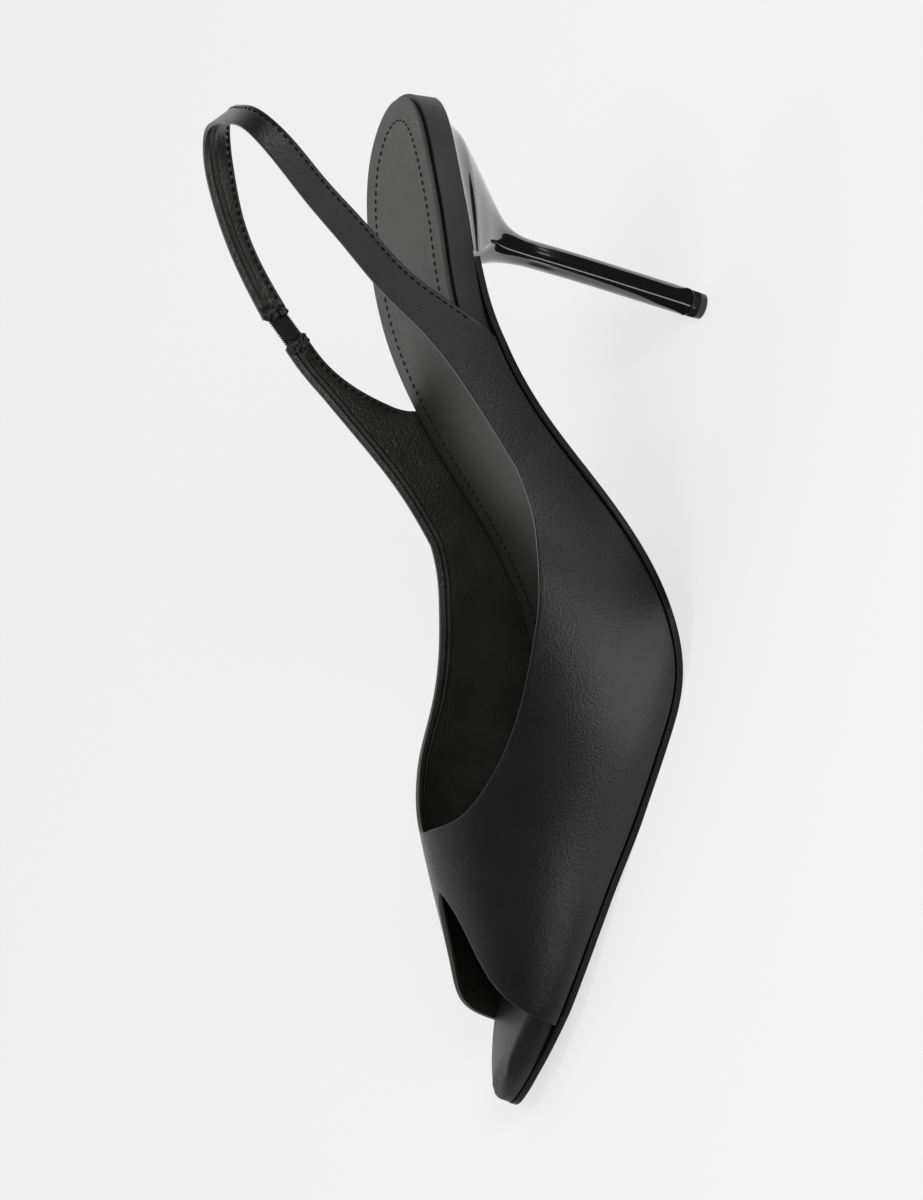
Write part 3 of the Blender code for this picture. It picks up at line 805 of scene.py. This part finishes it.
def elastic_sheet(lift):
    """One face of the elastic, ribbed across, from the strap's end to the tab's."""
    start, end = NEAR_RIBS[-1], FAR_RIBS[-1]
    a, b = start.mean(0), end.mean(0)
    t = np.linspace(0.0, 1.0, ELASTIC_RIBS * 8 + 1)[:, None, None]
    v = np.linspace(-0.5, 0.5, 13)[None, :, None]
    wide_a = (start[-1] - start[0]) / np.linalg.norm(start[-1] - start[0])
    wide_b = (end[-1] - end[0]) / np.linalg.norm(end[-1] - end[0])
    rib = np.abs(np.sin(t * ELASTIC_RIBS * math.pi))
    wide = (wide_a * (1 - t) + wide_b * t) * (ELASTIC_WIDTH - 0.0004 + 0.0005 * rib)
    centre = a * (1 - t) + b * t + np.array([WALL / 2, 0, 0])
    normal = np.cross(b - a, wide_a + wide_b)
    normal /= np.linalg.norm(normal)
    return centre + wide * v + normal * (lift + np.sign(lift) * RIB_DEPTH * (rib - 0.5))


elastic_mesh = join_meshes([sheet(elastic_sheet(s * ELASTIC / 2)) for s in (1, -1)])
bridge_rims(elastic_mesh)
piece(elastic_mesh, "elastic_link", [webbing], "elastic")


def gathered_end(name, ribs, other, reach):
    """Leather turned over and gathered round the elastic at the end of a strap."""
    last = ribs[-1]
    middle, far_end = last.mean(0), other[-1].mean(0)
    along = (far_end - middle) / np.linalg.norm(far_end - middle)
    wide = (last[-1] - last[0]) / np.linalg.norm(last[-1] - last[0])
    inward = np.array([1.0, 0.0, 0.0]) - along * along[0] - wide * wide[0]
    inward /= np.linalg.norm(inward)
    t = np.linspace(0, 1, 33)[:, None]
    turn = np.linspace(0, 2 * math.pi, 65)[None, :]
    swell = np.sqrt(np.clip(1 - (2 * t - 1) ** 4, 0, 1)) * 0.5 + 0.5
    fold = 0.10 * np.sin(7 * turn + 5 * t) + 0.07 * np.sin(13 * turn - 9 * t + 1.0)
    fold = fold + 0.08 * np.sin(11 * t + 2 * turn)
    half_wide = (GATHER_HALF + 0.0004 * t) * swell * (1 + 0.4 * fold)
    half_thick = GATHER_THICK * swell * (1 + 1.6 * fold)
    square = (np.abs(np.cos(turn)) ** 3 + np.abs(np.sin(turn)) ** 3) ** (-1 / 3)
    at = (t * (reach + GATHER_PAST) - reach) + 0.0004 * np.sin(3 * turn)
    points = middle + inward * EDGE_WALL + at[..., None] * along
    points = points + (half_wide * square * np.cos(turn))[..., None] * wide
    points = points + (half_thick * square * np.sin(turn))[..., None] * inward
    lump = sheet(points)
    close_ends(lump)
    piece(lump, name, [upper_leather], None)


gathered_end("strap_gathers", NEAR_RIBS, FAR_RIBS, 0.0030)
gathered_end("tab_gathers", FAR_RIBS, NEAR_RIBS, 0.0026)


# Stitches

STITCH = 0.0016
STITCH_PITCH = 0.0021
THREAD_THICK = 0.00046


def even_steps(line, normals, pitch):
    """Places, directions and normals at an even pitch along a line of points."""
    steps = np.linalg.norm(np.diff(line, axis=0), axis=1)
    at = np.r_[0.0, np.cumsum(steps)]
    want = np.arange(pitch, at[-1], pitch)
    spots = np.stack([np.interp(want, at, line[:, i]) for i in range(3)], -1)
    ups = np.stack([np.interp(want, at, normals[:, i]) for i in range(3)], -1)
    ways = np.gradient(spots, axis=0)
    return spots, ways, ups


def stitch_rows(name, rows):
    """One mesh of short stitches lying on rows of (line, normals) in the part's axes."""
    bm = bmesh.new()
    for line, normals in rows:
        for spot, way, up in zip(*even_steps(line, normals, STITCH_PITCH)):
            way, up = Vector(way).normalized(), Vector(up).normalized()
            side = up.cross(way).normalized()
            turn = Matrix((way * STITCH / 2, side * THREAD_THICK / 2, way.cross(side) * THREAD_THICK / 2))
            matrix = Matrix.Translation(Vector(spot)) @ turn.transposed().to_4x4()
            bmesh.ops.create_uvsphere(bm, u_segments=6, v_segments=5, radius=1.0, matrix=matrix)
    bmesh.ops.recalc_face_normals(bm, faces=bm.faces)
    piece(bm, name, [thread], None)


def line_on_ribs(ribs, first, inset, lift, outward):
    """A line a distance in from the ribs' low edge, lifted off the outer or the inner face."""
    low, _ = distances(ribs)
    normals = rib_normals(ribs) * outward
    points, ups = [], []
    for i in range(first, len(ribs) - 1):
        points.append([np.interp(inset, low[i], ribs[i, :, k]) for k in range(3)])
        ups.append([np.interp(inset, low[i], normals[i, :, k]) for k in range(3)])
    points, ups = np.array(points), np.array(ups)
    ups /= np.linalg.norm(ups, axis=1)[:, None]
    return place(points + ups * lift), ups * (1, -1, 1)


near_out = NEAR * np.sign(rib_normals(NEAR_RIBS)[VAMP_RIBS // 2, ACROSS // 5, 0])
far_out = FAR * np.sign(rib_normals(FAR_RIBS)[VAMP_RIBS // 2, ACROSS // 5, 0])
stitch_rows("strap_stitches", [
    line_on_ribs(NEAR_RIBS, VAMP_RIBS + 2, SEAM_INSET, 0.0, near_out),
    line_on_ribs(NEAR_RIBS, VAMP_RIBS + 2, SEAM_INSET, -EDGE_WALL, near_out),
])
stitch_rows("tab_stitches", [
    line_on_ribs(FAR_RIBS, VAMP_RIBS + 1, SEAM_INSET, 0.0, far_out),
    line_on_ribs(FAR_RIBS, VAMP_RIBS + 1, SEAM_INSET, -EDGE_WALL, far_out),
])


def sock_oval():
    """The line of stitches round the sock, from one side of the waist round the heel to the other."""
    v = np.linspace(-1, 1, 401)
    inset = 0.0068
    round_off = 0.032
    reach = 0.60 * LENGTH
    u = inset + (reach - inset) * np.abs(v) ** 2.0
    side = np.sign(v)
    full = np.maximum(u, HEEL_CURVE * LENGTH)
    w = np.where(v < 0, half(full, FAR), half(full, NEAR)) - inset
    rise = np.clip((u - inset) / round_off, 0, 1)
    x = side * w * (1 - (1 - rise) ** 2) ** 0.5
    along, z = below(u, -GAP - SOCK)
    d = 0.001
    slope = (footbed(u + d) - footbed(u - d)) / (2 * d)
    ups = np.stack([0 * u, slope, 1 + 0 * u], -1)
    return place(np.stack([x, along, z], -1)), ups


stitch_rows("sock_stitches", [sock_oval()])


# Floor, light and camera

def stage_finish(name, colour, glow):
    """Matt paper or felt that also glows by a share of its colour."""
    made = Finish(name, colour, 0.9, Specular_IOR_Level=0.0)
    shade = made.noise(0.6, 1.0)
    made.give("Base Color", made.mix(shade, colour, tuple(c * 0.995 for c in colour)))
    made.shader.inputs["Emission Color"].default_value = (*colour, 1.0)
    made.shader.inputs["Emission Strength"].default_value = glow
    return made


floor_paper = stage_finish("floor_paper", (0.18, 0.18, 0.18), 3.84)
floor_mesh = bmesh.new()
bmesh.ops.create_grid(floor_mesh, x_segments=1, y_segments=1, size=30.0)
object_from(floor_mesh, "floor", [floor_paper])

card_felt = stage_finish("card_felt", (0.02, 0.02, 0.02), 0.0)
card_white = stage_finish("card_white", (0.9, 0.9, 0.9), 1.3)
card_lamp = stage_finish("card_lamp", (0.9, 0.9, 0.9), 1.25)


def card(name, finish, height, corners):
    """A card lying on the floor that shows only as a reflection in the shoe."""
    mesh = bmesh.new()
    mesh.faces.new([mesh.verts.new((x, y, height)) for x, y in corners])
    made = object_from(mesh, name, [finish])
    made.visible_camera = False
    made.visible_diffuse = False
    made.visible_shadow = False
    made.visible_transmission = False


card("heel_card", card_felt, 0.002, [
    (-0.008, 0.060), (0.060, 0.005), (0.130, -0.005), (0.200, 0.030), (0.200, 0.100),
    (0.100, 0.112), (0.085, 0.160), (0.035, 0.200), (0.005, 0.200), (0.005, 0.112), (-0.008, 0.100),
])
card("ball_strip", card_lamp, 0.0025, [
    (0.050, -0.040), (0.12, -0.075), (0.60, -0.17), (0.60, -0.06), (0.048, 0.010),
])
card("toe_card", card_felt, 0.002, [
    (0.045, -0.070), (0.30, -0.11), (0.30, -0.40), (0.0, -0.40), (0.025, -0.120),
])
card("stem_strip", card_white, 0.003, [(-0.001, 0.0906), (0.165, -0.012), (0.177, 0.013)])

bpy.context.scene.view_settings.view_transform = "Standard"
world = bpy.data.worlds.new("pale_room")
bpy.context.scene.world = world
world.use_nodes = True
room = world.node_tree
backdrop = room.nodes["Background"]
backdrop.inputs["Color"].default_value = (1.0, 1.0, 1.0, 1.0)
way_out = room.nodes.new("ShaderNodeTexCoord")


def room_fade(way, start, end, bright, dark):
    """Brightness that falls from bright to dark as a direction turns towards one way."""
    towards = room.nodes.new("ShaderNodeVectorMath")
    towards.operation = "DOT_PRODUCT"
    towards.inputs[1].default_value = way
    fade = room.nodes.new("ShaderNodeMapRange")
    fade.interpolation_type = "SMOOTHSTEP"
    for key, value in (("From Min", start), ("From Max", end), ("To Min", bright), ("To Max", dark)):
        fade.inputs[key].default_value = value
    room.links.new(way_out.outputs["Generated"], towards.inputs[0])
    room.links.new(towards.outputs["Value"], fade.inputs["Value"])
    return fade.outputs["Result"]


both = room.nodes.new("ShaderNodeMath")
both.operation = "MULTIPLY"
room.links.new(room_fade((0.92, -0.10, 0.38), -0.25, 0.65, 0.95, 0.12), both.inputs[0])
room.links.new(room_fade((0.0, 0.0, 1.0), 0.50, 1.0, 1.0, 0.8), both.inputs[1])
room.links.new(both.outputs[0], backdrop.inputs["Strength"])


def softbox(name, at, aim, size, power, mirrored):
    """A lamp that either lights the matt surfaces or shows as a reflection in the glossy ones."""
    data = bpy.data.lights.new(name, "AREA")
    data.shape = "RECTANGLE"
    data.size, data.size_y = size
    data.energy = power
    light = bpy.data.objects.new(name, data)
    turn = (Vector(aim) - Vector(at)).to_track_quat("-Z", "Y").to_matrix().to_4x4()
    light.matrix_world = Matrix.Translation(at) @ turn
    light.visible_camera = False
    light.visible_glossy = mirrored
    light.visible_diffuse = not mirrored
    bpy.context.scene.collection.objects.link(light)


softbox("ceiling", (1.9, -0.35, 3.6), (0, 0, 0.0), (2.0, 2.0), 80.0, False)
softbox("front", (2.5, 0.25, 1.15), (0, 0, 0.05), (0.9, 0.9), 50.0, False)
softbox("low_window", (1.45, -0.27, 0.09), (0, 0, 0.02), (0.40, 0.16), 1.5, True)
softbox("rear_window", (1.14, 0.89, 0.13), (0, 0.05, 0.04), (0.45, 0.24), 2.4, True)

# Pixels are those of the photo, 923 by 1200: the lens's length, and the pixel that looks at LOOK_AT
PHOTO_WIDE = 923.0
PHOTO_HIGH = 1200.0
LENS_PIXELS = 12566.0
SEEN_X = 526.87
SEEN_Y = 553.95
CAMERA_RIGHT = Vector((0.41087, 0.20304, -0.88880))
CAMERA_UP = Vector((0.09635, 0.95977, 0.26379))
CAMERA_BACK = Vector((0.90659, -0.19402, 0.37477))
LOOK_AT = Vector(place([0.0, 0.10505, 0.0334]))
CAMERA_DISTANCE = 3.183
camera_data = bpy.data.cameras.new("camera")
camera_data.sensor_fit = "VERTICAL"
camera_data.sensor_height = 36.0
camera_data.lens = LENS_PIXELS * camera_data.sensor_height / PHOTO_HIGH
camera_data.shift_x = (PHOTO_WIDE / 2 - SEEN_X) / PHOTO_HIGH
camera_data.shift_y = (SEEN_Y - PHOTO_HIGH / 2) / PHOTO_HIGH
camera_data.clip_end = 100.0
camera = bpy.data.objects.new("camera", camera_data)
turn = Matrix((CAMERA_RIGHT, CAMERA_UP, CAMERA_BACK)).transposed().to_4x4()
camera.matrix_world = Matrix.Translation(LOOK_AT + CAMERA_BACK * CAMERA_DISTANCE) @ turn
bpy.context.scene.collection.objects.link(camera)
bpy.context.scene.camera = camera
